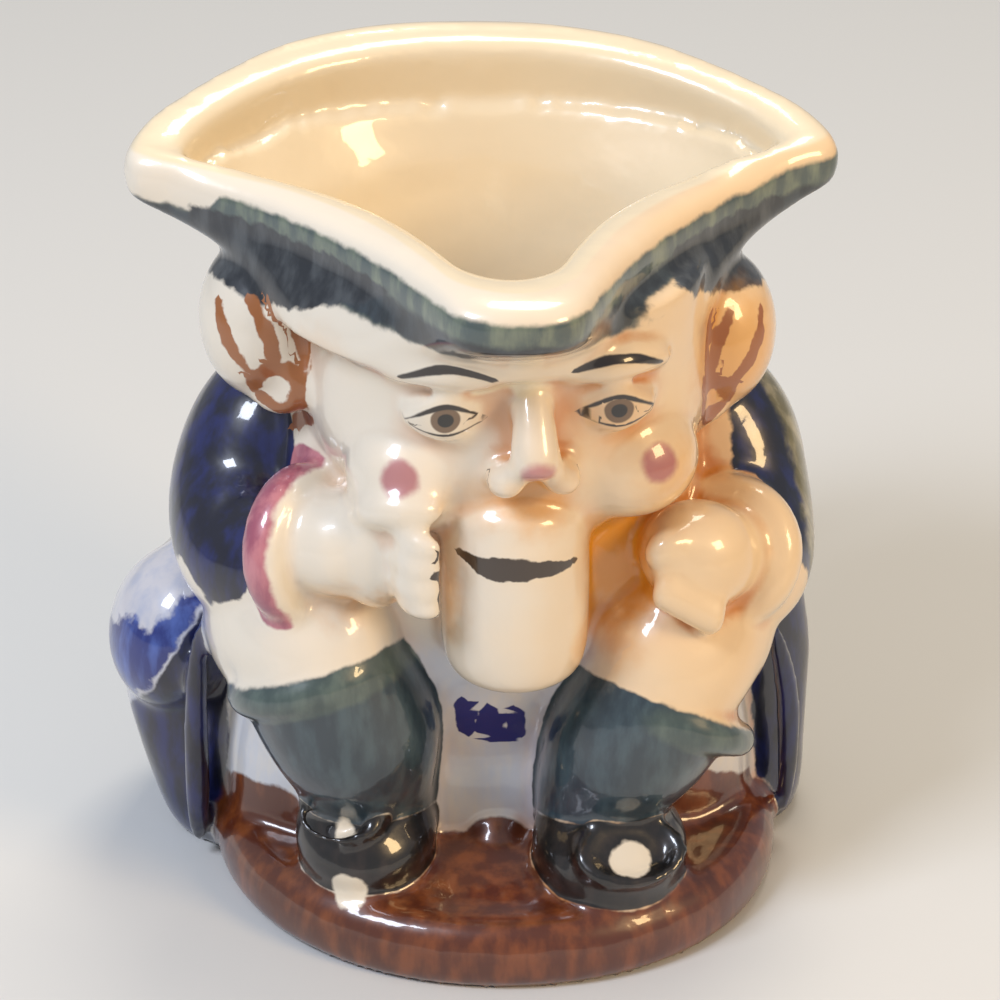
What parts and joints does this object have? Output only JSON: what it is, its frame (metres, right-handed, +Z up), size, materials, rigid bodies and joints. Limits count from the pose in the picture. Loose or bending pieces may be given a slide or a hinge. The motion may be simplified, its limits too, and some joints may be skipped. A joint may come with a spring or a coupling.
{
  "type": "toby jug",
  "caption": "Small hollow jug shaped as a seated drinker with a mug; the three-cornered hat is its mouth, with a low plinth and a strap handle behind.",
  "frame": {"origin": "the middle of the plinth's width on the flat underside that the jug stands on", "axes": "+Z up, the figure looks along -Y, the handle is at +Y, and +X is at the right of a viewer who faces the figure"},
  "size_m": [0.082, 0.0775, 0.0902],
  "materials": {
    "glazed_earthenware": "white slip-cast earthenware, hand painted under a thick clear gloss glaze"
  },
  "bodies": {
    "root": {"toby_jug": "glazed_earthenware"}
  },
  "joints": []
}
